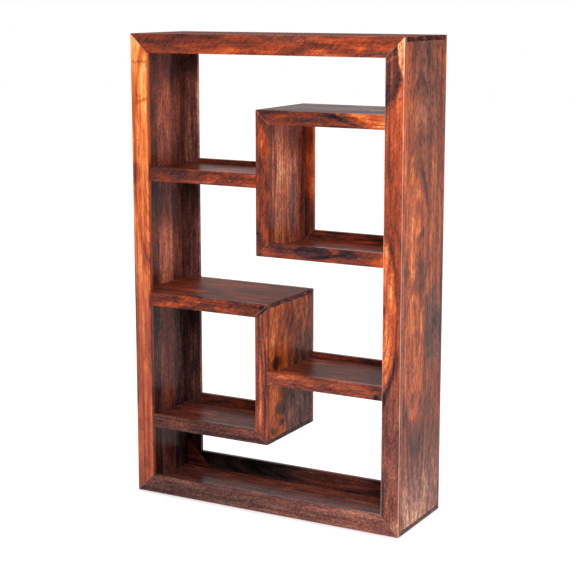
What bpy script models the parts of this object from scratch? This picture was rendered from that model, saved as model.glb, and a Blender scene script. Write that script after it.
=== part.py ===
"""Open cube storage unit in solid wood.

A tall case of two mitred frames, front and back, with boards between them. Two open boxes hang in it,
the upper one from the right side and the lower one from the left, and a shelf joins each box to the
opposite side. The lower box and shelf are the upper ones turned half a turn about Y.

Metres, +Z up, the front at -Y. The origin is on the floor, under the middle of the unit.
"""

from math import pi

import bmesh
import bpy
from mathutils import Vector

# Driving dimensions
UNIT_WIDTH = 1.105
UNIT_DEPTH = 0.360
UNIT_HEIGHT = 1.750
CASE_RAIL_WIDTH = 0.070
INNER_RAIL_WIDTH = 0.051
FRAME_THICKNESS = 0.018
BOARD_THICKNESS = 0.016
BOX_WIDTH = 0.575
BOX_HEIGHT = 0.526
BOX_DROP = 0.261
SHELF_DROP = 0.490
BRACE_LEG = 0.098
BRACE_THICKNESS = 0.016
DOWEL_RADIUS = 0.004
DOWEL_LENGTH = 0.040
DOWEL_SIDES = 20
JOINT_GAP = 0.0003

# Worked out from them
HALF_WIDTH = UNIT_WIDTH / 2
HALF_DEPTH = UNIT_DEPTH / 2
BOX_END = BOX_DROP + BOX_HEIGHT
BOARD_FRONT = -HALF_DEPTH + FRAME_THICKNESS + JOINT_GAP
BOARD_BACK = HALF_DEPTH - FRAME_THICKNESS - JOINT_GAP
FRAME_LAYERS = {
    "front": (-HALF_DEPTH, -HALF_DEPTH + FRAME_THICKNESS),
    "back": (HALF_DEPTH - FRAME_THICKNESS, HALF_DEPTH),
}

# Wood tones: base colours of the lacquered rosewood, and of the pale dowels
HONEY = (0.60, 0.22, 0.07)
EMBER = (0.36, 0.09, 0.035)
RUSSET = (0.23, 0.065, 0.03)
COCOA = (0.13, 0.045, 0.025)
PLUM = (0.075, 0.03, 0.025)
BEECH = (0.62, 0.42, 0.25)
LACQUER_ROUGHNESS = 0.38
DOWEL_ROUGHNESS = 0.7


def clear_scene():
    for old in list(bpy.data.objects):
        bpy.data.objects.remove(old, do_unlink=True)


def new_collection(name):
    collection = bpy.data.collections.new(name)
    bpy.context.scene.collection.children.link(collection)
    return collection


def wood(name, tone, roughness=LACQUER_ROUGHNESS):
    material = bpy.data.materials.new(name + "_wood")
    material.use_nodes = True
    shader = material.node_tree.nodes["Principled BSDF"]
    shader.inputs["Base Color"].default_value = (*tone, 1)
    shader.inputs["Roughness"].default_value = roughness
    shader.inputs["Metallic"].default_value = 0
    material.diffuse_color = (*tone, 1)
    return material


def new_group(name, location, half_turn=False):
    """An empty that carries one group of pieces."""
    group = bpy.data.objects.new(name, None)
    parts.objects.link(group)
    group.location = location
    if half_turn:
        group.rotation_euler = (0, pi, 0)
    return group


def place(name, form, group, centre, collection):
    """Turns a shape into an object at its place in a group."""
    mesh = bpy.data.meshes.new(name)
    form.to_mesh(mesh)
    form.free()
    piece = bpy.data.objects.new(name, mesh)
    collection.objects.link(piece)
    piece.parent = group
    piece.location = centre
    return piece


def wooden_piece(name, group, low, high, tone, cuts=()):
    """A board between two corners. Each saw cut is a point and the direction that falls away."""
    low = Vector(low)
    high = Vector(high)
    centre = (low + high) / 2
    form = bmesh.new()
    bmesh.ops.create_cube(form, size=1)
    bmesh.ops.scale(form, vec=high - low, verts=form.verts)
    for point, direction in cuts:
        away = Vector(direction).normalized()
        sawn = bmesh.ops.bisect_plane(
            form,
            geom=form.verts[:] + form.edges[:] + form.faces[:],
            plane_co=Vector(point) - centre - away * JOINT_GAP / 2,
            plane_no=away,
            clear_outer=True,
        )
        rim = [edge for edge in sawn["geom_cut"] if isinstance(edge, bmesh.types.BMEdge)]
        bmesh.ops.edgeloop_fill(form, edges=rim)
    bmesh.ops.recalc_face_normals(form, faces=form.faces)
    piece = place(name, form, group, centre, parts)
    piece.data.materials.append(wood(name, tone))
    return piece


def rod(radius, length):
    """A cylinder along X."""
    form = bmesh.new()
    bmesh.ops.create_cone(
        form, cap_ends=True, segments=DOWEL_SIDES, radius1=radius, radius2=radius, depth=length
    )
    for vertex in form.verts:
        vertex.co = (vertex.co.z, vertex.co.y, -vertex.co.x)
    return form


def add_dowel(name, group, centre, joined):
    """A dowel along X across a butt joint, with its hole in both of the pieces that it joins."""
    dowel = place(name, rod(DOWEL_RADIUS, DOWEL_LENGTH), group, centre, parts)
    dowel.data.materials.append(wood(name, BEECH, DOWEL_ROUGHNESS))
    dowel.data.shade_smooth()
    dowel.data.set_sharp_from_angle(angle=pi / 4)
    hole_shape = rod(DOWEL_RADIUS + JOINT_GAP, DOWEL_LENGTH + 2 * JOINT_GAP)
    hole = place(name + "_hole", hole_shape, group, centre, cutters)
    hole.hide_render = True
    hole.display_type = "WIRE"
    for piece in joined:
        drilled = piece.modifiers.new(name + "_hole", "BOOLEAN")
        drilled.operation = "DIFFERENCE"
        drilled.solver = "EXACT"
        drilled.object = hole


def add_case():
    """The outer case: a mitred frame in front and one behind, and four boards between them."""
    case = new_group("case", (0, 0, 0))
    stiles = {}
    tones = {
        "front": (HONEY, RUSSET, EMBER, RUSSET),
        "back": (COCOA, COCOA, COCOA, PLUM),
    }
    for layer, (near, far) in FRAME_LAYERS.items():
        left_tone, right_tone, top_tone, bottom_tone = tones[layer]
        for side, sign, tone in (("left", -1, left_tone), ("right", 1, right_tone)):
            outer = sign * HALF_WIDTH
            inner = sign * (HALF_WIDTH - CASE_RAIL_WIDTH)
            stiles[layer, side] = wooden_piece(
                f"{layer}_{side}_stile",
                case,
                (min(outer, inner), near, 0),
                (max(outer, inner), far, UNIT_HEIGHT),
                tone,
                [
                    ((outer, 0, UNIT_HEIGHT), (-sign, 0, 1)),
                    ((outer, 0, 0), (-sign, 0, -1)),
                ],
            )
        for end, edge, sign, tone in (
            ("top", UNIT_HEIGHT, 1, top_tone),
            ("bottom", 0, -1, bottom_tone),
        ):
            inner = edge - sign * CASE_RAIL_WIDTH
            wooden_piece(
                f"{layer}_{end}_rail",
                case,
                (-HALF_WIDTH, near, min(edge, inner)),
                (HALF_WIDTH, far, max(edge, inner)),
                tone,
                [
                    ((-HALF_WIDTH, 0, edge), (-1, 0, -sign)),
                    ((HALF_WIDTH, 0, edge), (1, 0, -sign)),
                ],
            )
    wooden_piece(
        "top_board",
        case,
        (-HALF_WIDTH, BOARD_FRONT, UNIT_HEIGHT - BOARD_THICKNESS),
        (HALF_WIDTH, BOARD_BACK, UNIT_HEIGHT),
        RUSSET,
    )
    wooden_piece(
        "bottom_board",
        case,
        (-HALF_WIDTH, BOARD_FRONT, 0),
        (HALF_WIDTH, BOARD_BACK, BOARD_THICKNESS),
        COCOA,
    )
    for side, low_x in (("left", -HALF_WIDTH), ("right", HALF_WIDTH - BOARD_THICKNESS)):
        wooden_piece(
            f"{side}_side_panel",
            case,
            (low_x, BOARD_FRONT, BOARD_THICKNESS + JOINT_GAP),
            (low_x + BOARD_THICKNESS, BOARD_BACK, UNIT_HEIGHT - BOARD_THICKNESS - JOINT_GAP),
            COCOA,
        )
    add_corner_braces(case)
    return stiles


def add_corner_braces(case):
    """Four triangular blocks in the case's corners, against the back frame."""
    side_face = HALF_WIDTH - BOARD_THICKNESS - JOINT_GAP
    for side, across in (("left", -1), ("right", 1)):
        for end, up, end_face in (
            ("top", 1, UNIT_HEIGHT - BOARD_THICKNESS - JOINT_GAP),
            ("bottom", -1, BOARD_THICKNESS + JOINT_GAP),
        ):
            corner_x = across * side_face
            tip_x = corner_x - across * BRACE_LEG
            tip_z = end_face - up * BRACE_LEG
            wooden_piece(
                f"{end}_{side}_corner_brace",
                case,
                (min(corner_x, tip_x), BOARD_BACK - BRACE_THICKNESS, min(end_face, tip_z)),
                (max(corner_x, tip_x), BOARD_BACK, max(end_face, tip_z)),
                COCOA,
                [((tip_x, 0, end_face), (-across, 0, -up))],
            )


def add_half(name, group, near_end, far_end, side, stiles, tones):
    """One box with its shelf, in the group's axes: -X from the side that the box hangs on, -Z from
    the near end of the unit. The box's free side is called `side`."""
    other_side = "left" if side == "right" else "right"
    near_tone, far_tone, stile_tone, shelf_tone = tones
    box_top = -BOX_DROP
    box_bottom = -BOX_END
    free_end = -BOX_WIDTH
    shelf_top = -SHELF_DROP
    shelf_bottom = shelf_top - INNER_RAIL_WIDTH
    shelf_end = CASE_RAIL_WIDTH - UNIT_WIDTH
    for layer, (near, far) in FRAME_LAYERS.items():
        middle = (near + far) / 2
        is_front = layer == "front"
        stile = wooden_piece(
            f"{name}_box_{layer}_{side}_stile",
            group,
            (free_end, near, box_bottom),
            (free_end + INNER_RAIL_WIDTH, far, box_top),
            stile_tone if is_front else COCOA,
            [
                ((free_end, 0, box_top), (1, 0, 1)),
                ((free_end, 0, box_bottom), (1, 0, -1)),
            ],
        )
        for end, edge, up, tone in (
            (near_end, box_top, 1, near_tone),
            (far_end, box_bottom, -1, far_tone),
        ):
            inner = edge - up * INNER_RAIL_WIDTH
            rail = wooden_piece(
                f"{name}_box_{layer}_{end}_rail",
                group,
                (free_end, near, min(edge, inner)),
                (-CASE_RAIL_WIDTH - JOINT_GAP, far, max(edge, inner)),
                tone if is_front else COCOA,
                [((free_end, 0, edge), (-1, 0, -up))],
            )
            add_dowel(
                f"{name}_box_{layer}_{end}_dowel",
                group,
                (-CASE_RAIL_WIDTH, middle, (edge + inner) / 2),
                [rail, stiles[layer, other_side]],
            )
        rail = wooden_piece(
            f"{name}_shelf_{layer}_rail",
            group,
            (shelf_end + JOINT_GAP, near, shelf_bottom),
            (free_end - JOINT_GAP, far, shelf_top),
            shelf_tone if is_front else COCOA,
        )
        shelf_middle = (shelf_top + shelf_bottom) / 2
        for dowel_name, joint, neighbour in (
            ("box", free_end, stile),
            ("case", shelf_end, stiles[layer, side]),
        ):
            add_dowel(
                f"{name}_shelf_{layer}_{dowel_name}_dowel",
                group,
                (joint, middle, shelf_middle),
                [rail, neighbour],
            )
    board_start = -BOARD_THICKNESS - JOINT_GAP
    wooden_piece(
        f"{name}_box_{near_end}_board",
        group,
        (free_end, BOARD_FRONT, box_top - BOARD_THICKNESS),
        (board_start, BOARD_BACK, box_top),
        RUSSET,
    )
    wooden_piece(
        f"{name}_box_{far_end}_board",
        group,
        (free_end, BOARD_FRONT, box_bottom),
        (board_start, BOARD_BACK, box_bottom + BOARD_THICKNESS),
        RUSSET,
    )
    wooden_piece(
        f"{name}_box_{side}_panel",
        group,
        (free_end, BOARD_FRONT, box_bottom + BOARD_THICKNESS + JOINT_GAP),
        (free_end + BOARD_THICKNESS, BOARD_BACK, box_top - BOARD_THICKNESS - JOINT_GAP),
        COCOA,
    )
    shelf_board_low = (shelf_top + shelf_bottom - BOARD_THICKNESS) / 2
    wooden_piece(
        f"{name}_shelf_board",
        group,
        (-UNIT_WIDTH + BOARD_THICKNESS + JOINT_GAP, BOARD_FRONT, shelf_board_low),
        (free_end - JOINT_GAP, BOARD_BACK, shelf_board_low + BOARD_THICKNESS),
        RUSSET,
    )


clear_scene()
parts = new_collection("cube_storage_unit")
cutters = new_collection("cube_storage_unit_cutters")
case_stiles = add_case()
upper_half = new_group("upper_half", (HALF_WIDTH, 0, UNIT_HEIGHT))
lower_half = new_group("lower_half", (-HALF_WIDTH, 0, 0), half_turn=True)
add_half(
    "upper", upper_half, "top", "bottom", "left", case_stiles, (EMBER, RUSSET, RUSSET, COCOA)
)
add_half(
    "lower", lower_half, "bottom", "top", "right", case_stiles, (RUSSET, EMBER, EMBER, EMBER)
)
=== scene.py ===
"""The looks of the open cube storage unit: eased and mitred boards of lacquered rosewood.

Every piece is cut from a plain board to the box of its part in the frame. A board's own measures are
`along` its grain, `across` its show face and `deep` through its thickness, in metres from its low corner.
"""

from collections import namedtuple
from math import cos, pi, radians, sin

import bmesh
import bpy
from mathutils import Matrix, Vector


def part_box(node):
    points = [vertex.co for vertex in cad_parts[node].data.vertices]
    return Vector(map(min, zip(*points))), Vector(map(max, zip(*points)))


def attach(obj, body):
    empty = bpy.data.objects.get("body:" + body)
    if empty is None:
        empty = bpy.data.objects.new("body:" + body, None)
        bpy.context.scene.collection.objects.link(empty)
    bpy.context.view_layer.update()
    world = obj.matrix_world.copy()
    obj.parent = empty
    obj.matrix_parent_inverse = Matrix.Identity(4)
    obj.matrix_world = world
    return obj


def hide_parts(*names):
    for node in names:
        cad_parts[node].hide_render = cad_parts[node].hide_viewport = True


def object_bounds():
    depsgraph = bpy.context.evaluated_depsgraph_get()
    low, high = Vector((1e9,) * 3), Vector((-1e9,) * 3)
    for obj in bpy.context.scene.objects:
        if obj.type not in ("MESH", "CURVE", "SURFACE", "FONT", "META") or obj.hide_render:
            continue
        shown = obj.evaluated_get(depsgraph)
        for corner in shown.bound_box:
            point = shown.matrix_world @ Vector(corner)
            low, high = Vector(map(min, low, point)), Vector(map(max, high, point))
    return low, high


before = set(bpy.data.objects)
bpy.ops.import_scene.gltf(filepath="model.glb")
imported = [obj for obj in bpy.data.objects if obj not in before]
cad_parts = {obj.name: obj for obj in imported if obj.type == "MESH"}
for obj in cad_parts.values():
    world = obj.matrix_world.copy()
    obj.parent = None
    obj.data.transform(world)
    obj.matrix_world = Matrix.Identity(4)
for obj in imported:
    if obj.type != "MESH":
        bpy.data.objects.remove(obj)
cad_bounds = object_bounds()

AXES = "XYZ"

# Edges and joints, in metres. An edge is a joint's edge if more than half of the places tried along it
# are within TOUCHING of another part.
SHOW_ARRIS = 0.0010
JOINT_ARRIS = 0.0005
ARRIS_STEPS = 3
TOUCHING = 0.0012
PLACES_TRIED = (0.1, 0.3, 0.5, 0.7, 0.9)
STILL_SQUARE = radians(60)
SHARP = radians(40)
# A mitre's seam: how far from the saw cut it has faded out, how far out it is full, and its strength
SEAM_FADED = 0.0013
SEAM_FULL = 0.0006
SEAM_STRENGTH = 0.28
COS_45 = 0.7071

# Rosewood from its darkest heart to its palest sapwood, by tone from 0 to 1
ROSEWOOD = (
    (0.00, (0.012, 0.009, 0.013)),
    (0.12, (0.030, 0.014, 0.018)),
    (0.25, (0.076, 0.023, 0.018)),
    (0.40, (0.155, 0.034, 0.019)),
    (0.55, (0.285, 0.050, 0.021)),
    (0.70, (0.480, 0.083, 0.026)),
    (0.82, (0.680, 0.160, 0.046)),
    (0.92, (0.840, 0.290, 0.090)),
    (1.00, (0.950, 0.470, 0.190)),
)
VEIN = (0.045, 0.014, 0.012, 1)
SEAM = (0.42, 0.30, 0.30, 1)
# The pale colour of a painted highlight along lacquered arrises
EDGE_HIGHLIGHT = (0.82, 0.61, 0.50, 1)
BEECH = ((0.0, (0.40, 0.24, 0.13)), (0.5, (0.56, 0.37, 0.22)), (1.0, (0.68, 0.49, 0.31)))
BEECH_RAY = (0.30, 0.16, 0.08, 1)

# How far a figure moves across a stile or a rail for each metre of depth into it
LEAN = 4
# How much a full cloud, streak, fleck or fibre changes the tone
CLOUD_TONE = 1.9
STREAK_TONE = 1.6
FLECK_TONE = 1.3
FIBRE_TONE = 0.16
# How much dullness and the dark film take from the colour's saturation and brightness
CLEAR_SATURATION = 1.02
DULL_SATURATION = 0.85
FILM_SATURATION = 0.09
CLEAR_VALUE = 1.20
FILM_VALUE = 0.66
VEIN_MOST = 0.5
PORE_STRENGTH = 0.35
# End grain of a board: its depth from the end, and how much darker and more varied it is
END_FADED = 0.0030
END_FULL = 0.0010
END_VARIED = 1.6
END_DARKER = 0.22
# Depths in a panel between which its outer face's tone gives way to its inner one's, which holds painted
# shade
OUTER_SKIN = 0.004
INNER_SKIN = 0.012

# The studio: how far past the unit's box its soft shadow ends and is full, and the floor's tones
SHADOW_END = 0.035
SHADOW_FULL = -0.010
SHADOW_NARROWER = 16
FLOOR = (0.95, 0.95, 0.95, 1)
FLOOR_SHADED = (0.64, 0.65, 0.66, 1)
GLOW = (1, 1, 1, 1)
GLOW_SHADED = (0.58, 0.59, 0.60, 1)
GLOW_STRENGTH = 0.45
FLOOR_HALF = 20
# The white room's light: all round, what it adds behind the unit, and how much less comes from its right
ROOM_FRONT = 0.40
ROOM_BEHIND = 0.60
ROOM_RIGHT = 0.5
# The camera's place and its turns about X, Y and Z
CAMERA_PLACE = (2.626, -4.746, 1.892)
CAMERA_TURN = (pi / 2 - 0.1780, 0.0007, 0.5040)
LENS = 93.2
SENSOR = 36
SHIFT_DOWN = -0.045


class Shade:
    """A value or a vector that varies over a surface, with the arithmetic that the finishes use."""

    def __init__(self, finish, socket):
        self.finish = finish
        self.socket = socket

    def __add__(self, other):
        return self.finish.maths("ADD", self, other)

    def __radd__(self, other):
        return self.finish.maths("ADD", other, self)

    def __sub__(self, other):
        return self.finish.maths("SUBTRACT", self, other)

    def __rsub__(self, other):
        return self.finish.maths("SUBTRACT", other, self)

    def __mul__(self, other):
        return self.finish.maths("MULTIPLY", self, other)

    def __rmul__(self, other):
        return self.finish.maths("MULTIPLY", other, self)

    def __truediv__(self, other):
        return self.finish.maths("DIVIDE", self, other)

    def __abs__(self):
        return self.finish.maths("ABSOLUTE", self)


class Finish:
    """The nodes of one material, or of the world."""

    def __init__(self, owner, shader="Principled BSDF"):
        owner.use_nodes = True
        self.owner = owner
        self.tree = owner.node_tree
        self.shader = self.tree.nodes[shader]

    def node(self, kind, settings, inputs, output=0):
        """Adds a node: its settings first, then the values or links of its sockets."""
        made = self.tree.nodes.new(kind)
        for name, value in settings.items():
            if name == "stops":
                self.set_stops(made.color_ramp, value)
            elif name == "interpolation" and kind == "ShaderNodeValToRGB":
                made.color_ramp.interpolation = value
            else:
                setattr(made, name, value)
        for name, value in inputs.items():
            self.feed(made.inputs[name], value)
        return Shade(self, made.outputs[output])

    def feed(self, socket, value):
        if isinstance(value, Shade):
            self.tree.links.new(value.socket, socket)
        else:
            socket.default_value = value

    def set_stops(self, ramp, stops):
        while len(ramp.elements) > 1:
            ramp.elements.remove(ramp.elements[-1])
        for place, colour in stops:
            stop = ramp.elements.new(place)
            stop.color = (*colour, 1)
        ramp.elements.remove(ramp.elements[0])

    def maths(self, operation, first, second=0.0):
        return self.node("ShaderNodeMath", {"operation": operation}, {0: first, 1: second})

    def lesser(self, first, second):
        return self.maths("MINIMUM", first, second)

    def greater(self, first, second):
        return self.maths("MAXIMUM", first, second)

    def rise(self, value, start, end):
        """0 at start and 1 at end, with a smooth way between."""
        return self.node(
            "ShaderNodeMapRange",
            {"interpolation_type": "SMOOTHSTEP"},
            {"Value": value, "From Min": start, "From Max": end},
        )

    def point(self, x, y, z):
        return self.node("ShaderNodeCombineXYZ", {}, {"X": x, "Y": y, "Z": z})

    def noise(self, place, detail=2.0, roughness=0.5, distortion=0.0):
        """Noise about 0, from about -0.5 to 0.5. The place is already stretched."""
        made = self.node(
            "ShaderNodeTexNoise",
            {},
            {
                "Vector": place,
                "Scale": 1.0,
                "Detail": detail,
                "Roughness": roughness,
                "Distortion": distortion,
            },
        )
        return made - 0.5

    def mix(self, factor, first, second):
        """Two colours together. Sockets 6 and 7 are the node's colour inputs, and output 2 its colour."""
        return self.node(
            "ShaderNodeMix",
            {"data_type": "RGBA"},
            {0: factor, 6: first, 7: second},
            output=2,
        )


# A figure in the grain: its middle, half its length and width, its tilt in degrees, how much it lightens
# the wood, how soft its edge is (1 fades from the middle), how dull it is, how dark its outline is
# (below 0 is pale), and how many nested rings its lower end has.
Mark = namedtuple(
    "Mark", "along across length width tilt lift soft dull ink rings", defaults=(0, 0.1, 0.5, 0, 0, 0)
)
# The wood of one piece
WOOD = {
    "run": None,  # its tone at places along it
    "marks": (),  # the figures in its grain
    "lay": (),  # its change of tone from each place across it (staves)
    "cloud": 0.45,  # how strong its clouds are
    "streak": 0.45,  # how strong its streaks are
    "fleck": 0.35,  # how strong its flecks are
    "gap": 0.009,  # the gap between streaks
    "slant": 12,  # the slant of its flecks in degrees
    "heart": (0.5, -0.15, 0.05),  # what its growth rings go round: along, across and their slope
    "dull": 0.0,  # how dull and grey it is: partly the wood's own colour, partly a painted haze of reflected light
    "arris": 0.0,  # how much its arrises lighten
    "rough": 0.22,  # how rough its lacquer is
    "warm": 0.0,  # how far its hue turns to yellow
    "speck": 180,  # how many specks there are in a metre across it
    "film": 0.01,  # how strongly a painted highlight lightens its arrises
    "rub": 0.0,  # how far its arrises are rubbed pale
    "shine": 1.16,  # the lacquer's index of refraction
    "outer": None,  # one even tone for its outer face, if that is unlike its inner one with its painted shade
}
Timber = namedtuple("Timber", WOOD, defaults=list(WOOD.values())[1:])

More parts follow.
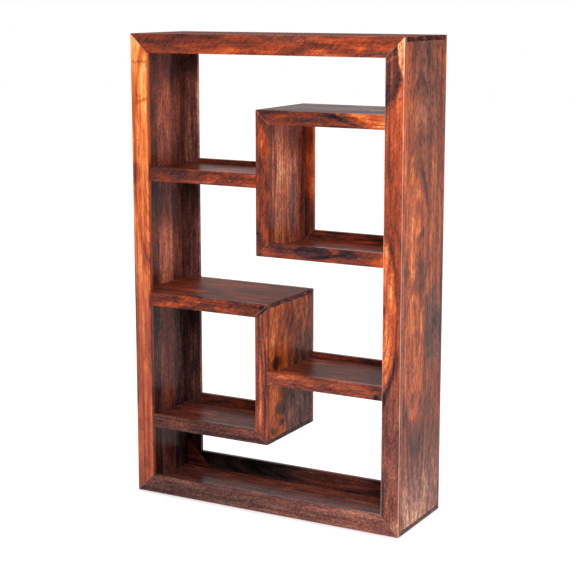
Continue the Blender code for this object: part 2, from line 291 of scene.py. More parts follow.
TIMBERS = {
    "front_left_stile": Timber(
        # Its run brightens towards the top: partly pale sapwood, partly painted light, the upper part being
        # lit more.
        run=((0, 0.61), (0.5, 0.63), (0.7, 0.70), (0.8, 0.76), (1.0, 0.83), (1.3, 0.84), (1.7, 0.93)),
        marks=(
            Mark(0.40, 0.040, 0.52, 0.080, lift=-0.02, soft=0.4, dull=0.07),
            Mark(1.15, 0.035, 0.25, 0.080, lift=0.00, soft=0.6, dull=0.02),
            Mark(1.32, 0.078, 0.42, 0.068, lift=-0.02, soft=0.5, ink=0.18, rings=7),
            Mark(0.60, 0.072, 0.12, 0.030, lift=-0.10, soft=0.4, rings=2),
            Mark(0.80, 0.000, 0.22, 0.020, lift=-0.10, soft=0.6),
            Mark(1.235, 0.014, 0.035, 0.018, lift=-0.22, soft=0.7, ink=0.08, rings=2),
            Mark(0.90, 0.115, 1.20, 0.040, lift=-0.20, soft=0.15),
            Mark(0.38, 0.000, 0.05, 0.006, lift=-0.25, soft=0.8),
            Mark(0.77, 0.000, 0.12, 0.005, lift=-0.35, soft=0.6),
            Mark(0.75, 0.070, 0.03, 0.006, lift=-0.30, soft=0.6),
            Mark(1.505, 0.045, 0.035, 0.006, 70, lift=-0.14, soft=0.7),
            Mark(1.58, 0.033, 0.062, 0.019, lift=0.06, soft=0.3, ink=0.08),
            Mark(1.647, 0.035, 0.035, 0.004, 86, lift=-0.16, soft=0.7),
            Mark(1.60, 0.010, 0.12, 0.004, lift=-0.14, soft=0.7),
            Mark(0.11, 0.035, 0.02, 0.020, lift=-0.12, soft=0.8),
            Mark(0.04, 0.010, 0.05, 0.020, lift=-0.14, soft=0.8),
        ),
        cloud=0.20, streak=0.30, fleck=0.12, gap=0.011, slant=4, heart=(1.2, -0.06, 0.03), arris=-0.10,
        warm=0.002, film=-0.05,
    ),
    "front_right_stile": Timber(
        run=((0, 0.52), (0.08, 0.48), (0.5, 0.50), (1.0, 0.54), (1.1, 0.54), (1.25, 0.60), (1.6, 0.62)),
        marks=(
            Mark(0.79, -0.004, 0.280, 0.058, lift=0.23, soft=0.08, ink=0.20, rings=4),
            Mark(0.20, 0.035, 0.32, 0.090, lift=0.01, soft=0.4, dull=0.15),
            # Painted sheen: a pale, dull band down the stile's side edge below about 1 m
            Mark(0.75, 0.128, 0.32, 0.036, lift=0.06, soft=0.3, dull=0.20),
            Mark(1.00, 0.030, 0.10, 0.010, 5, lift=-0.14, soft=0.7),
            Mark(0.560, 0.028, 0.11, 0.007, 15, lift=-0.13, soft=0.7, dull=0.02),
            Mark(0.49, 0.004, 0.03, 0.010, lift=-0.25, soft=0.7),
            Mark(0.62, 0.056, 0.05, 0.004, 3, lift=-0.25, soft=0.6),
            Mark(0.81, 0.004, 0.02, 0.004, lift=-0.40, soft=0.7),
            Mark(0.14, 0.006, 0.08, 0.009, 2, lift=-0.20, soft=0.6, dull=0.1),
            Mark(0.03, 0.060, 0.035, 0.020, lift=0.10, soft=0.3, dull=0.1),
            Mark(1.36, 0.110, 0.34, 0.095, lift=0.04, soft=0.5, ink=0.10, rings=9),
            Mark(1.690, 0.004, 0.165, 0.064, lift=-0.29, soft=0.10, dull=0.07, ink=0.04),
            Mark(1.50, 0.000, 0.10, 0.010, 6, lift=-0.16, soft=0.6, dull=0.10),
            Mark(1.680, 0.028, 0.030, 0.004, 62, lift=0.20, soft=0.7),
            Mark(1.745, 0.068, 0.125, 0.024, lift=0.50, soft=0.12),
            Mark(1.25, 0.035, 0.09, 0.02, lift=-0.06, soft=0.9),
        ),
        # A painted highlight runs along its arrises.
        cloud=0.34, streak=0.28, fleck=0.22, slant=8, dull=0.02, arris=0.05, rub=0.42,
    ),
    "front_top_rail": Timber(
        run=((0, 0.40), (0.35, 0.44), (0.45, 0.50), (0.75, 0.51), (1.0, 0.54)),
        marks=(
            Mark(0.22, 0.066, 0.17, 0.032, lift=-0.12, soft=0.8),
            Mark(0.30, 0.008, 0.26, 0.020, lift=0.08, soft=0.8),
            Mark(0.79, 0.036, 0.06, 0.010, lift=-0.10, soft=0.7),
            Mark(0.82, 0.008, 0.09, 0.012, lift=0.06, soft=0.8),
            Mark(1.00, 0.012, 0.05, 0.006, 12, lift=-0.12, soft=0.8, dull=0.25),
            Mark(0.98, 0.040, 0.03, 0.015, 50, lift=-0.10, soft=0.8),
            Mark(0.66, 0.060, 0.10, 0.015, lift=-0.06, soft=0.8, dull=0.08),
        ),
        cloud=0.40, streak=0.22, fleck=0.46, slant=38,
    ),
    "front_bottom_rail": Timber(
        run=((0, 0.34), (0.35, 0.38), (0.55, 0.45), (0.75, 0.51), (1.1, 0.55)),
        marks=(
            Mark(0.45, 0.030, 0.35, 0.016, lift=-0.05, soft=0.9, dull=0.05),
            Mark(0.60, 0.006, 0.40, 0.010, lift=0.06, soft=0.8),
            Mark(0.80, 0.062, 0.20, 0.010, lift=0.06, soft=0.8),
            Mark(0.72, 0.036, 0.08, 0.004, lift=-0.10, soft=0.7),
        ),
        cloud=0.26, streak=0.20, fleck=0.34, slant=20, dull=0.22,
    ),
    "upper_box_front_top_rail": Timber(
        run=((0, 0.33), (0.30, 0.34), (0.40, 0.44), (0.5, 0.51)),
        marks=(
            Mark(0.465, 0.042, 0.125, 0.034, -12, lift=0.18, soft=0.30),
            Mark(0.42, 0.040, 0.035, 0.010, -8, lift=0.16, soft=0.7),
            Mark(0.495, 0.028, 0.025, 0.012, lift=0.10, soft=0.7),
            Mark(0.365, 0.021, 0.075, 0.006, -17, lift=-0.22, soft=0.6, dull=0.08),
            Mark(0.312, 0.039, 0.012, 0.006, lift=-0.30, soft=0.6),
            Mark(0.328, 0.048, 0.008, 0.004, lift=0.35, soft=0.7),
            Mark(0.15, 0.008, 0.07, 0.008, lift=0.12, soft=0.8),
            Mark(0.04, 0.045, 0.06, 0.012, lift=-0.12, soft=0.8),
        ),
        cloud=0.40, streak=0.30, fleck=0.45, slant=20,
    ),
    "upper_box_front_bottom_rail": Timber(
        run=((0, 0.32), (0.15, 0.33), (0.42, 0.36), (0.5, 0.52)),
        marks=(
            Mark(0.232, 0.030, 0.068, 0.022, lift=-0.17, soft=0.14, ink=0.12, dull=0.05),
            Mark(0.245, 0.012, 0.05, 0.006, 5, lift=-0.14, soft=0.6),
            Mark(0.310, 0.022, 0.05, 0.005, 10, lift=-0.28, soft=0.5, dull=0.05),
            Mark(0.365, 0.034, 0.036, 0.015, -8, lift=-0.20, soft=0.3, ink=0.06, dull=0.02),
            Mark(0.310, 0.043, 0.036, 0.011, lift=0.14, soft=0.5),
            Mark(0.045, 0.022, 0.025, 0.016, lift=0.14, soft=0.7),
            Mark(0.008, 0.025, 0.014, 0.030, lift=-0.20, soft=0.5),
            Mark(0.500, 0.026, 0.030, 0.040, lift=0.14, soft=0.8),
        ),
        cloud=0.35, streak=0.30, fleck=0.35, slant=30,
    ),
    "upper_box_front_left_stile": Timber(
        run=((0, 0.46), (0.2, 0.46), (0.4, 0.50), (0.52, 0.40)),
        marks=(
            Mark(0.085, 0.036, 0.032, 0.012, lift=0.16, soft=0.8),
            Mark(0.085, 0.005, 0.007, 0.006, lift=-0.35, soft=0.6),
            Mark(0.050, 0.010, 0.060, 0.012, lift=-0.14, soft=0.7),
            Mark(0.240, 0.032, 0.030, 0.020, lift=-0.09, soft=0.8),
            Mark(0.310, 0.020, 0.050, 0.012, -20, lift=-0.15, soft=0.7),
            Mark(0.400, 0.036, 0.080, 0.014, lift=0.12, soft=0.8),
            Mark(0.500, 0.035, 0.030, 0.030, lift=-0.15, soft=0.8),
        ),
        cloud=0.45, streak=0.30, fleck=0.50, slant=18,
    ),
    "lower_box_front_top_rail": Timber(
        run=((0, 0.41), (0.2, 0.37), (0.5, 0.36)),
        marks=(
            Mark(0.485, 0.036, 0.014, 0.010, -50, lift=-0.34, soft=0.6, dull=0.15),
            Mark(0.08, 0.016, 0.10, 0.015, lift=0.05, soft=0.8),
            Mark(0.34, 0.014, 0.13, 0.010, -6, lift=0.08, soft=0.8),
        ),
        cloud=0.50, streak=0.25, fleck=0.60, slant=28,
    ),
    "lower_box_front_bottom_rail": Timber(
        run=((0, 0.32), (0.3, 0.30), (0.5, 0.33)),
        marks=(
            Mark(0.25, 0.004, 0.30, 0.014, lift=-0.08, soft=0.9, dull=0.08),
            Mark(0.40, 0.036, 0.06, 0.012, -20, lift=0.12, soft=0.8, rings=3),
            Mark(0.47, 0.026, 0.03, 0.006, -35, lift=0.12, soft=0.8),
            Mark(0.12, 0.036, 0.10, 0.010, lift=0.05, soft=0.8),
        ),
        cloud=0.40, streak=0.30, fleck=0.34, slant=24, dull=0.11,
    ),
    "lower_box_front_right_stile": Timber(
        run=((0, 0.42), (0.08, 0.52), (0.3, 0.54), (0.45, 0.52), (0.52, 0.44)),
        marks=(
            Mark(0.20, 0.034, 0.09, 0.0035, -6, lift=-0.20, soft=0.7),
            Mark(0.33, 0.027, 0.10, 0.0040, -8, lift=-0.24, soft=0.7),
            Mark(0.38, 0.037, 0.09, 0.0040, -5, lift=-0.18, soft=0.7),
            Mark(0.26, 0.045, 0.08, 0.0035, -3, lift=-0.20, soft=0.7),
            Mark(0.43, 0.020, 0.06, 0.0035, -6, lift=-0.14, soft=0.7),
            Mark(0.50, 0.028, 0.035, 0.006, 48, lift=-0.42, soft=0.6, dull=0.12),
            Mark(0.02, 0.025, 0.030, 0.008, -50, lift=-0.24, soft=0.6, dull=0.12),
            Mark(0.10, 0.020, 0.07, 0.012, lift=0.08, soft=0.8),
        ),
        cloud=0.30, streak=0.60, fleck=0.20, slant=6, gap=0.008, dull=0.06, arris=0.03,
    ),
    "upper_shelf_front_rail": Timber(
        run=((0, 0.34), (0.252, 0.35), (0.258, 0.45), (0.46, 0.45)),
        marks=(
            Mark(0.10, 0.030, 0.10, 0.012, -5, lift=-0.07, soft=0.8),
            Mark(0.30, 0.026, 0.035, 0.020, lift=-0.04, soft=0.6, rings=2),
            Mark(0.27, 0.010, 0.025, 0.010, lift=0.10, soft=0.8),
        ),
        cloud=0.45, streak=0.30, fleck=0.50, slant=22,
    ),
    "lower_shelf_front_rail": Timber(
        run=((0, 0.50), (0.2, 0.49), (0.35, 0.46), (0.46, 0.48)),
        marks=(
            Mark(0.438, 0.008, 0.010, 0.008, lift=-0.42, soft=0.6, dull=0.10),
            Mark(0.33, 0.024, 0.035, 0.018, lift=-0.05, soft=0.6, rings=2),
            Mark(0.12, 0.016, 0.11, 0.010, lift=0.06, soft=0.8),
        ),
        cloud=0.45, streak=0.30, fleck=0.50, slant=22, dull=0.05,
    ),
    "right_side_panel": Timber(
        # Its run holds painted light besides the wood's tone: the pale foot is a painted reflection of the
        # floor.
        run=(
            (0, 0.69), (0.15, 0.63), (0.28, 0.43), (0.45, 0.46), (0.9, 0.54), (1.3, 0.54), (1.5, 0.51),
            (1.72, 0.48),
        ),
        marks=(
            Mark(0.62, 0.092, 0.215, 0.074, lift=0.16, soft=0.18, ink=-0.16, rings=3),
            Mark(0.42, 0.040, 0.05, 0.012, 35, lift=-0.16, soft=0.7, dull=0.1),
            Mark(0.87, 0.105, 0.075, 0.045, lift=0.05, soft=0.4, rings=4, ink=0.06),
            Mark(1.12, 0.075, 0.21, 0.055, 180, lift=0.16, soft=0.25, ink=-0.13, rings=4),
            Mark(0.90, 0.165, 0.06, 0.030, lift=-0.20, soft=0.7, dull=0.05),
            Mark(1.04, 0.135, 0.04, 0.014, 65, lift=-0.22, soft=0.7),
            Mark(1.22, 0.165, 0.08, 0.012, -22, lift=-0.22, soft=0.7),
            Mark(1.31, 0.090, 0.05, 0.022, -20, lift=-0.16, soft=0.7),
            Mark(1.16, 0.110, 0.02, 0.020, lift=-0.14, soft=0.8),
            Mark(0.70, 0.255, 0.15, 0.080, lift=-0.14, soft=0.3, dull=0.12),
            Mark(1.58, 0.17, 0.22, 0.10, lift=-0.07, soft=0.8, dull=0.10),
            Mark(1.50, 0.020, 0.26, 0.045, lift=0.12, soft=0.9),
            # Painted reflection: a pale, dull sheen over the panel's foot
            Mark(0.05, 0.16, 0.18, 0.26, lift=0.02, soft=0.7, dull=0.24),
            Mark(0.26, 0.22, 0.18, 0.14, lift=-0.05, soft=0.8),
            Mark(1.05, 0.27, 0.26, 0.05, lift=0.04, soft=0.9, dull=0.02),
        ),
        cloud=0.36, streak=0.34, fleck=0.22, gap=0.013, slant=14, heart=(0.8, 0.12, 0.10), dull=0.03,
        warm=0.005, speck=100, shine=1.13,
    ),
    "back_right_stile": Timber(
        run=((0, 0.38), (0.5, 0.34), (0.9, 0.40), (1.1, 0.52), (1.7, 0.50)),
        cloud=0.40, streak=0.45, fleck=0.25,
    ),
    "lower_box_back_right_stile": Timber(run=((0, 0.44), (0.25, 0.48), (0.5, 0.54)), arris=0.05),
    "upper_box_back_left_stile": Timber(
        run=((0, 0.42), (0.15, 0.44), (0.2, 0.66), (0.46, 0.80), (0.5, 0.50)),
        marks=(Mark(0.25, 0.000, 0.40, 0.036, lift=-0.22, soft=0.3),),
        cloud=0.30, streak=0.40, fleck=0.2,
    ),
    "left_side_panel": Timber(
        # Its run is darker under each shelf, under the top and towards the bottom: painted shade inside the
        # bays.
        run=(
            (0, 0.24), (0.25, 0.25), (0.3, 0.36), (0.66, 0.28), (0.75, 0.48), (1.2, 0.42), (1.25, 0.50),
            (1.5, 0.49), (1.72, 0.40),
        ),
        # Its staves differ in tone; the darkest one, near the back, is painted shade.
        lay=((0, -0.06), (0.125, 0.10), (0.221, -0.08), (0.285, -0.20), (0.310, -0.06)),
        marks=(
            # Painted light and shade: the pale figures light the lower part of each bay, the two slanting
            # dark ones shade the upper part.
            Mark(0.88, 0.178, 0.140, 0.050, lift=0.17, soft=0.25),
            Mark(1.11, 0.160, 0.100, 0.120, 30, lift=-0.14, soft=0.4),
            Mark(1.66, 0.240, 0.160, 0.090, 45, lift=-0.12, soft=0.3),
            Mark(0.50, 0.100, 0.250, 0.030, lift=0.00, soft=0.3, dull=0.12),
            Mark(0.50, 0.255, 0.250, 0.040, lift=0.00, soft=0.3, dull=0.16),
            Mark(0.31, 0.180, 0.045, 0.050, lift=0.06, soft=0.4),
            Mark(1.45, 0.170, 0.200, 0.045, lift=0.07, soft=0.4),
        ),
        cloud=0.30, streak=0.22, fleck=0.24, dull=0.11, outer=0.47,
    ),
    "back_left_stile": Timber(
        # Its run is darker just under each shelf and the top board: painted shade in the bays.
        run=(
            (0, 0.26), (0.55, 0.28), (0.65, 0.16), (0.75, 0.10), (0.79, 0.40), (1.04, 0.38), (1.14, 0.18),
            (1.20, 0.14), (1.25, 0.54), (1.55, 0.50), (1.64, 0.34), (1.70, 0.16),
        ),
        marks=(Mark(0.90, 0.118, 1.20, 0.040, lift=0.20, soft=0.15),),
        cloud=0.40, streak=0.45, fleck=0.25, dull=0.21,
    ),
    "back_bottom_rail": Timber(
        run=((0, 0.14), (0.45, 0.14), (0.55, 0.30), (0.85, 0.34), (1.1, 0.22)),
        marks=(
            Mark(0.70, 0.040, 0.14, 0.020, lift=0.10, soft=0.8, rings=3),
            Mark(0.10, 0.035, 0.38, 0.120, lift=0.02, soft=0.3, dull=0.35),
        ),
        cloud=0.35, streak=0.50, fleck=0.15, heart=(0.72, 0.045, 0.10), dull=0.10,
    ),
    "bottom_board": Timber(
        run=((0, 0.37), (0.484, 0.37), (0.488, 0.45), (0.66, 0.43), (0.75, 0.37), (0.95, 0.37), (1.1, 0.45)),
        lay=((0, 0.0), (0.05, 0.04), (0.13, -0.02), (0.21, 0.03), (0.29, -0.10)),
        cloud=0.35, streak=0.40, fleck=0.20, dull=0.09, shine=1.14,
    ),
    "lower_box_right_panel": Timber(
        run=((0, 0.55), (0.22, 0.52), (0.28, 0.56), (0.49, 0.60)),
        marks=(
            Mark(0.36, 0.010, 0.30, 0.020, lift=0.16, soft=0.4),
            Mark(0.37, 0.070, 0.14, 0.060, lift=0.08, soft=0.8),
            Mark(0.455, 0.165, 0.050, 0.040, 24, lift=0.04, soft=0.5, rings=3, ink=0.08),
            Mark(0.42, 0.130, 0.070, 0.009, 30, lift=-0.24, soft=0.6),
            Mark(0.43, 0.175, 0.060, 0.008, 32, lift=-0.20, soft=0.6),
            Mark(0.280, 0.052, 0.020, 0.034, lift=-0.30, soft=0.5, ink=0.08),
            Mark(0.29, 0.320, 0.22, 0.110, 10, lift=-0.10, soft=0.9, dull=0.08),
            Mark(0.10, 0.045, 0.15, 0.060, lift=0.14, soft=0.5),
            Mark(0.10, 0.080, 0.022, 0.034, 20, lift=-0.40, soft=0.5, ink=0.08),
            Mark(0.022, 0.030, 0.014, 0.022, 30, lift=-0.38, soft=0.5),
            Mark(0.046, 0.088, 0.012, 0.018, lift=-0.36, soft=0.5),
            Mark(0.16, 0.100, 0.04, 0.040, lift=-0.16, soft=0.8),
            Mark(0.08, 0.260, 0.22, 0.130, lift=-0.08, soft=0.5, dull=0.24),
        ),
        cloud=0.46, streak=0.18, fleck=0.40, slant=22, gap=0.016, shine=1.11, speck=110, warm=0.006,
    ),
    "upper_box_left_panel": Timber(
        run=((0, 0.57), (0.2, 0.64), (0.49, 0.57)),
        marks=(
            Mark(0.21, 0.150, 0.25, 0.065, lift=0.20, soft=0.7),
            Mark(0.24, 0.066, 0.14, 0.007, lift=-0.22, soft=0.7),
            Mark(0.28, 0.100, 0.06, 0.009, 3, lift=-0.20, soft=0.7),
            Mark(0.15, 0.226, 0.13, 0.013, 2, lift=-0.10, soft=0.7, dull=0.35),
            Mark(0.40, 0.225, 0.08, 0.02, lift=-0.14, soft=0.8),
            Mark(0.25, 0.300, 0.30, 0.020, lift=-0.20, soft=0.7),
        ),
        cloud=0.35, streak=0.45, fleck=0.35, dull=0.09, shine=1.13,
    ),
    "lower_box_top_board": Timber(
        run=((0, 0.47), (0.2, 0.41), (0.56, 0.45)),
        marks=(
            Mark(0.30, 0.230, 0.13, 0.060, lift=0.14, soft=0.8),
            Mark(0.40, 0.170, 0.14, 0.030, lift=-0.14, soft=0.8),
            Mark(0.18, 0.085, 0.06, 0.020, lift=0.20, soft=0.8),
            Mark(0.27, 0.065, 0.04, 0.012, lift=-0.20, soft=0.8),
        ),
        cloud=0.40, streak=0.35, fleck=0.20, dull=0.03, rough=0.42, shine=1.13,
    ),
    "upper_box_top_board": Timber(
        run=((0, 0.62), (0.5, 0.62)),
        marks=(
            Mark(0.20, 0.030, 0.20, 0.030, lift=-0.45, soft=0.6),
            Mark(0.44, 0.080, 0.12, 0.025, lift=-0.40, soft=0.6),
            Mark(0.30, 0.190, 0.16, 0.040, lift=0.10, soft=0.8),
            Mark(0.12, 0.260, 0.14, 0.030, lift=-0.30, soft=0.8),
        ),
        # Its strong dullness and hue turned from yellow paint a lilac-grey reflection of the white room on
        # its lacquer.
        cloud=0.8, streak=0.5, fleck=0.3, dull=0.35, rough=0.42, warm=-0.03,
    ),
    "top_board": Timber(run=((0, 0.36), (1, 0.40)), rough=0.55, shine=1.08),
    "upper_shelf_board": Timber(
        run=((0, 0.38), (0.2, 0.38), (0.46, 0.40)),
        marks=(Mark(0.30, 0.170, 0.08, 0.040, lift=0.22, soft=0.8),),
        dull=0.04, rough=0.36, shine=1.13,
    ),
    "lower_shelf_board": Timber(
        run=((0, 0.46), (0.12, 0.38), (0.46, 0.34)), dull=0.02, rough=0.36, shine=1.11,
    ),
    "lower_box_bottom_board": Timber(run=((0, 0.39), (0.46, 0.39)), dull=0.05, rough=0.36, shine=1.14),
    "upper_box_bottom_board": Timber(run=((0, 0.46), (0.46, 0.50)), dull=0.06, rough=0.36, shine=1.14),
}
PLAIN_TIMBER = Timber(run=((0, 0.36), (1, 0.40)))


def grain_axes(node):
    """The axes along the grain, across the show face and through a piece."""
    if "brace" in node:
        return "XZY"
    if "stile" in node:
        return "ZXY"
    if "panel" in node:
        return "ZYX"
    if "rail" in node:
        return "XZY"
    return "XYZ"


def tone_stops(pairs, length):
    """A colour ramp's grey stops from tones at places along a length."""
    return [(min(place / length, 1), (tone, tone, tone)) for place, tone in pairs]


def drawn_mark(finish, mark, u, v):
    """How far along a mark and how far out from its middle each place is, 1 at its edge, and its strength."""
    turn = radians(mark.tilt)
    far = u - mark.along
    side = v - mark.across
    if mark.tilt:
        far, side = far * cos(turn) + side * sin(turn), side * cos(turn) - far * sin(turn)
    p = far / mark.length
    q = side / mark.width
    reach = finish.maths("SQRT", p * p + q * q)
    return p, reach, finish.rise(reach, 1 + mark.soft, 1 - mark.soft)


def mitre_seam(finish, node, x, z):
    """A fine line along a piece's sawn mitres."""
    low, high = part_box(node)
    seam = None
    for (side_x, side_z), (away_x, away_z) in mitres(node):
        corner_x = high[0] if side_x > 0 else low[0]
        corner_z = high[2] if side_z > 0 else low[2]
        inside = (x - corner_x) * (-away_x * COS_45) + (z - corner_z) * (-away_z * COS_45)
        seam = inside if seam is None else finish.lesser(seam, inside)
    return seam and finish.rise(seam, SEAM_FADED, SEAM_FULL)


def rosewood(node, timber, number):
    """Lacquered rosewood for one piece."""
    low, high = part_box(node)
    size = Vector(high) - Vector(low)
    order = [AXES.index(axis) for axis in grain_axes(node)]
    length, width, depth = (size[index] for index in order)
    finish = Finish(bpy.data.materials.new(node + "_rosewood"))
    place = finish.node("ShaderNodeTexCoord", {}, {}, output="Object")
    axes = [finish.node("ShaderNodeSeparateXYZ", {}, {0: place}, output=axis) for axis in AXES]
    along, across, deep = (axes[index] - low[index] for index in order)
    seed = number * 7.3

    # Waves that keep the grain from running dead straight
    wander = finish.noise(finish.point(along * 3 + seed, across * 9, deep * 9), detail=1.0)
    ragged = finish.noise(
        finish.point(along * 24 + seed, across * 75, deep * 60), detail=3.0, roughness=0.6
    )
    u = along + ragged * 0.024
    v = across + wander * 0.014 + ragged * 0.006
    if "panel" not in node and "board" not in node:
        v = v + deep * LEAN

    tone = finish.node("ShaderNodeValToRGB", {"stops": tone_stops(timber.run, length)}, {"Fac": u / length})
    if timber.lay:
        staves = [(start, change + 0.5) for start, change in timber.lay]
        settings = {"stops": tone_stops(staves, width), "interpolation": "CONSTANT"}
        change = finish.node("ShaderNodeValToRGB", settings, {"Fac": across / width}) - 0.5
        tone = tone + change
        own_grain = change * 40
    else:
        own_grain = 0.0
    dull = ragged * 0.10 + timber.dull
    for mark in timber.marks:
        p, reach, fade = drawn_mark(finish, mark, u, v)
        tone = tone + fade * mark.lift
        if mark.dull:
            dull = dull + fade * mark.dull
        if mark.ink:
            tone = tone - finish.rise(abs(reach - 1), 0.16, 0.0) * mark.ink
        if mark.rings:
            waves = finish.maths("COSINE", reach * (mark.rings * 2 * pi) + ragged * 5)
            lines = finish.rise(waves, 0.3, 1.0) * max(abs(mark.ink), 0.10) - waves * 0.03
            tone = tone - lines * finish.rise(reach, 1.4, 0.8) * finish.rise(p, 0.3, -0.3)

    # The outer face takes one even tone, without the painted shade of the inner face
    if timber.outer:
        tone = (tone - timber.outer) * finish.rise(deep, OUTER_SKIN, INNER_SKIN) + timber.outer

    # Growth rings with their streaks and clouds, then slanting flecks, fibres, pores and specks
    heart_along, heart_across, slope = timber.heart
    far = (along - heart_along) * slope + wander * 0.025
    side = across - heart_across + wander * 0.012 + ragged * 0.004
    ring = finish.maths("SQRT", far * far + side * side + deep * deep * 0.2)
    streaks = finish.noise(
        finish.point(along * 2.2 + seed + own_grain, ring / timber.gap, deep * 5), detail=3.0, roughness=0.6
    )
    clouds = finish.noise(
        finish.point(along * 9 + seed * 2, ring * 40 + own_grain, deep * 20), detail=2.0, distortion=0.3
    )
    slant = radians(timber.slant)
    fleck_along = along * cos(slant) + across * sin(slant)
    fleck_across = across * cos(slant) - along * sin(slant)
    flecks = finish.noise(
        finish.point(fleck_along * 36 + seed, fleck_across * 105, deep * 60),
        detail=3.0, roughness=0.6, distortion=0.5,
    )
    fibres = finish.noise(
        finish.point(along * 26 + seed, across * 520, deep * 520), detail=2.0, roughness=0.7
    )
    pores = finish.rise(
        finish.noise(finish.point(along * 60 + seed, across * 1400, deep * 1400), detail=0.0), 0.14, 0.26
    )
    specks = finish.noise(
        finish.point(along * (timber.speck / 2) + seed, across * timber.speck, deep * 170),
        detail=2.0, roughness=0.7,
    )
    film = finish.rise(specks + dull * 0.4 + timber.film, 0.01, 0.16)
    edge = finish.greater(
        finish.lesser(across, width - across), finish.lesser(deep, depth - deep)
    )
    worn = finish.rise(edge + ragged * 0.004, 0.0050, 0.0005)

    tone = tone + clouds * (timber.cloud * CLOUD_TONE) + streaks * (timber.streak * STREAK_TONE)
    tone = tone + flecks * (timber.fleck * FLECK_TONE) + fibres * FIBRE_TONE + worn * timber.arris
    if "board" in node:
        end = finish.rise(finish.lesser(along, length - along), END_FADED, END_FULL)
        rings = finish.noise(finish.point(across * 38, deep * 90, seed))
        tone = tone - end * (rings * END_VARIED + END_DARKER)
    colour = finish.node("ShaderNodeValToRGB", {"stops": ROSEWOOD}, {"Fac": tone})
    colour = finish.node(
        "ShaderNodeHueSaturation",
        {},
        {
            "Hue": clouds * dull * 0.25 + (0.5 + timber.warm),
            "Saturation": CLEAR_SATURATION - dull * DULL_SATURATION - film * FILM_SATURATION,
            "Value": CLEAR_VALUE - film * FILM_VALUE,
            "Color": colour,
        },
        output="Color",
    )
    veins = finish.rise(abs(streaks + 0.11), 0.028, 0.004)
    colour = finish.mix(veins * min(timber.streak, VEIN_MOST), colour, VEIN)
    colour = finish.mix(pores * PORE_STRENGTH, colour, VEIN)
    # A painted highlight along the arrises, where light glints on the eased lacquer
    if timber.rub:
        painted_highlight = finish.rise(edge, 0.0030, 0.0008)
        colour = finish.mix(painted_highlight * timber.rub, colour, EDGE_HIGHLIGHT)
    seam = mitre_seam(finish, node, axes[0], axes[2])
    if seam:
        colour = finish.mix(seam * SEAM_STRENGTH, colour, SEAM)
    finish.feed(finish.shader.inputs["Base Color"], colour)
    roughness = clouds * 0.10 + fibres * 0.10 + worn * 0.35 + timber.rough
    finish.feed(finish.shader.inputs["Roughness"], roughness)
    finish.shader.inputs["IOR"].default_value = timber.shine
    relief = fibres * 0.5 - pores
    bump = finish.node(
        "ShaderNodeBump", {}, {"Strength": 0.20, "Distance": 0.0003, "Height": relief}, output="Normal"
    )
    finish.feed(finish.shader.inputs["Normal"], bump)
    return finish.owner


boxes = {node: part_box(node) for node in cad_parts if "dowel" not in node}


def near_another(point, node):
    """Whether a point of one part lies against another part."""
    for other, (low, high) in boxes.items():
        if other == node:
            continue
        if all(low[i] - TOUCHING <= point[i] <= high[i] + TOUCHING for i in range(3)):
            return True
    return False


def is_joint_edge(edge, node):
    """Whether most of an edge lies against other parts."""
    start, end = (vertex.co for vertex in edge.verts)
    hits = sum(near_another(start.lerp(end, share), node) for share in PLACES_TRIED)
    return hits > len(PLACES_TRIED) / 2


def ease(form, edges, width, segments):
    """Rounds edges over, or with one segment chamfers them."""
    bmesh.ops.bevel(
        form,
        geom=edges,
        offset=width,
        offset_type="OFFSET",
        segments=segments,
        profile=0.5,
        material=-1,
        affect="EDGES",
    )


def saw(form, point, away):
    """Cuts off what lies beyond a plane and closes the cut."""
    sawn = bmesh.ops.bisect_plane(
        form,
        geom=form.verts[:] + form.edges[:] + form.faces[:],
        plane_co=point,
        plane_no=away,
        clear_outer=True,
    )
    rim = [piece for piece in sawn["geom_cut"] if isinstance(piece, bmesh.types.BMEdge)]
    bmesh.ops.edgeloop_fill(form, edges=rim)


def mitres(node):
    """The saw cuts of a frame's piece, each as a corner's side in X and in Z and the way that falls off."""
    if "stile" in node:
        side = outer_side(node)
        return [((side, 1), (-side, 1)), ((side, -1), (-side, -1))]
    if "rail" in node and "shelf" not in node:
        end = 1 if "top" in node else -1
        if "box" not in node:
            return [((-1, end), (-1, -end)), ((1, end), (1, -end))]
        side = -1 if "upper" in node else 1
        return [((side, end), (side, -end))]
    return []


def outer_side(node):
    """-1 or 1, the side in X that a stile's outer edge is on."""
    return -1 if "left" in node else 1


def cut_piece(node):
    """A board of a part's size, with eased edges and its mitres sawn."""
    low, high = (Vector(corner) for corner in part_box(node))
    form = bmesh.new()
    bmesh.ops.create_cube(form, size=1)
    bmesh.ops.scale(form, vec=high - low, verts=form.verts)
    bmesh.ops.translate(form, vec=(low + high) / 2, verts=form.verts)
    if "brace" in node:
        across = -1 if "left" in node else 1
        up = 1 if "top" in node else -1
        tip = Vector((high.x if across < 0 else low.x, 0, high.z if up > 0 else low.z))
        saw(form, tip, Vector((-across, 0, -up)))
        ease(form, form.edges[:], JOINT_ARRIS * 2, 1)
    else:
        joints = [edge for edge in form.edges if is_joint_edge(edge, node)]
        shown = [edge for edge in form.edges if edge not in joints]
        ease(form, shown, SHOW_ARRIS, ARRIS_STEPS)
        left = [
            edge
            for edge in form.edges
            if len(edge.link_faces) == 2 and edge.calc_face_angle() > STILL_SQUARE
        ]
        ease(form, left, JOINT_ARRIS, 1)
        for (side_x, side_z), (away_x, away_z) in mitres(node):
            corner = Vector((high.x if side_x > 0 else low.x, 0, high.z if side_z > 0 else low.z))
            saw(form, corner, Vector((away_x, 0, away_z)).normalized())
    bmesh.ops.recalc_face_normals(form, faces=form.faces)
    mesh = bpy.data.meshes.new(node + "_cut")
    form.to_mesh(mesh)
    form.free()
    mesh.shade_smooth()
    mesh.set_sharp_from_angle(angle=SHARP)
    piece = bpy.data.objects.new(node + "_cut", mesh)
    bpy.context.scene.collection.objects.link(piece)
    return piece


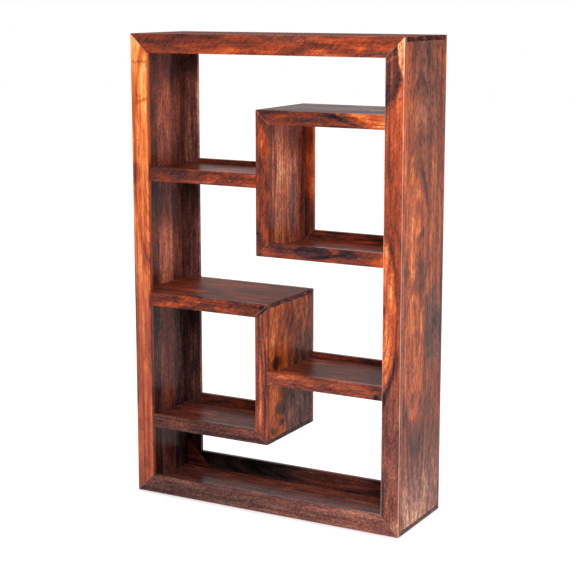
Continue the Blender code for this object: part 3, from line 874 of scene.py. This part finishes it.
def beech():
    """Plain turned beech, with its grain along the dowel and short dark rays."""
    finish = Finish(bpy.data.materials.new("dowel_beech"))
    place = finish.node("ShaderNodeTexCoord", {}, {}, output="Object")
    x, y, z = (finish.node("ShaderNodeSeparateXYZ", {}, {0: place}, output=axis) for axis in AXES)
    grain = finish.noise(finish.point(x * 30, y * 700, z * 700), detail=3.0, roughness=0.6)
    rays = finish.rise(finish.noise(finish.point(x * 220, y * 1500, z * 1500), detail=0.0), 0.12, 0.26)
    colour = finish.node("ShaderNodeValToRGB", {"stops": BEECH}, {"Fac": grain * 1.4 + 0.5})
    colour = finish.mix(rays * 0.5, colour, BEECH_RAY)
    finish.feed(finish.shader.inputs["Base Color"], colour)
    finish.feed(finish.shader.inputs["Roughness"], grain * 0.2 + 0.6)
    relief = grain - rays * 0.5
    bump = finish.node(
        "ShaderNodeBump", {}, {"Strength": 0.3, "Distance": 0.0002, "Height": relief}, output="Normal"
    )
    finish.feed(finish.shader.inputs["Normal"], bump)
    return finish.owner


dowel_finish = beech()
for number, node in enumerate(sorted(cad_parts)):
    if "dowel" in node:
        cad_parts[node].data.materials.clear()
        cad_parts[node].data.materials.append(dowel_finish)
        continue
    piece = cut_piece(node)
    piece.data.materials.append(rosewood(node, TIMBERS.get(node, PLAIN_TIMBER), number))
    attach(piece, "root")
    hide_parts(node)


def add_light(name, place, target, size, power):
    """A soft lamp at a place, aimed at its target."""
    lamp = bpy.data.lights.new(name, "AREA")
    lamp.shape = "RECTANGLE"
    lamp.size, lamp.size_y = size
    lamp.energy = power
    holder = bpy.data.objects.new(name, lamp)
    bpy.context.scene.collection.objects.link(holder)
    holder.location = place
    holder.rotation_euler = (Vector(target) - Vector(place)).to_track_quat("-Z", "Y").to_euler()


def add_studio():
    """A pale floor with a soft shadow close round the unit's foot, the white room and two lamps."""
    form = bmesh.new()
    bmesh.ops.create_grid(form, x_segments=1, y_segments=1, size=FLOOR_HALF)
    mesh = bpy.data.meshes.new("floor")
    form.to_mesh(mesh)
    form.free()
    floor = bpy.data.objects.new("floor", mesh)
    bpy.context.scene.collection.objects.link(floor)
    paint = Finish(bpy.data.materials.new("pale_floor"))
    place = paint.node("ShaderNodeTexCoord", {}, {}, output="Object")
    x, y = (paint.node("ShaderNodeSeparateXYZ", {}, {0: place}, output=axis) for axis in "XY")
    beyond_x = paint.greater(abs(x) - cad_bounds[1][0], 0)
    beyond_y = paint.greater(abs(y) - cad_bounds[1][1], 0)
    away = paint.maths("SQRT", beyond_x * beyond_x * SHADOW_NARROWER + beyond_y * beyond_y)
    shade = paint.rise(away, SHADOW_END, SHADOW_FULL)
    paint.feed(paint.shader.inputs["Base Color"], paint.mix(shade, FLOOR, FLOOR_SHADED))
    paint.shader.inputs["Roughness"].default_value = 0.6
    paint.feed(paint.shader.inputs["Emission Color"], paint.mix(shade, GLOW, GLOW_SHADED))
    paint.shader.inputs["Emission Strength"].default_value = GLOW_STRENGTH
    mesh.materials.append(paint.owner)
    add_surroundings()
    add_light("key", (2.8, -4.2, 3.4), (0, 0, 0.9), (1.8, 1.8), 160)
    add_light("top", (0.5, -0.5, 5.0), (0, 0, 0.5), (2.5, 2.5), 50)


def add_surroundings():
    """A white room that lights the front and the right side of the unit less than the rest."""
    world = bpy.data.worlds.new("studio")
    bpy.context.scene.world = world
    room = Finish(world, "Background")
    way = room.node("ShaderNodeTexCoord", {}, {}, output="Generated")
    x, y = (room.node("ShaderNodeSeparateXYZ", {}, {0: way}, output=axis) for axis in "XY")
    behind = ROOM_FRONT + room.rise(y, -0.5, 0.1) * ROOM_BEHIND
    dim = behind * (1 - room.rise(x, 0.0, 0.4) * ROOM_RIGHT)
    seen = room.node("ShaderNodeLightPath", {}, {}, output="Is Camera Ray")
    room.feed(room.shader.inputs["Strength"], room.greater(dim, seen))
    room.shader.inputs["Color"].default_value = (1, 1, 1, 1)


def add_camera():
    data = bpy.data.cameras.new("camera")
    data.sensor_width = SENSOR
    data.lens = LENS
    data.shift_y = SHIFT_DOWN
    data.clip_end = 60
    camera = bpy.data.objects.new("camera", data)
    bpy.context.scene.collection.objects.link(camera)
    camera.location = CAMERA_PLACE
    camera.rotation_euler = CAMERA_TURN
    bpy.context.scene.camera = camera


add_studio()
add_camera()
bpy.context.scene.view_settings.view_transform = "Standard"
bpy.context.scene.view_settings.look = "None"
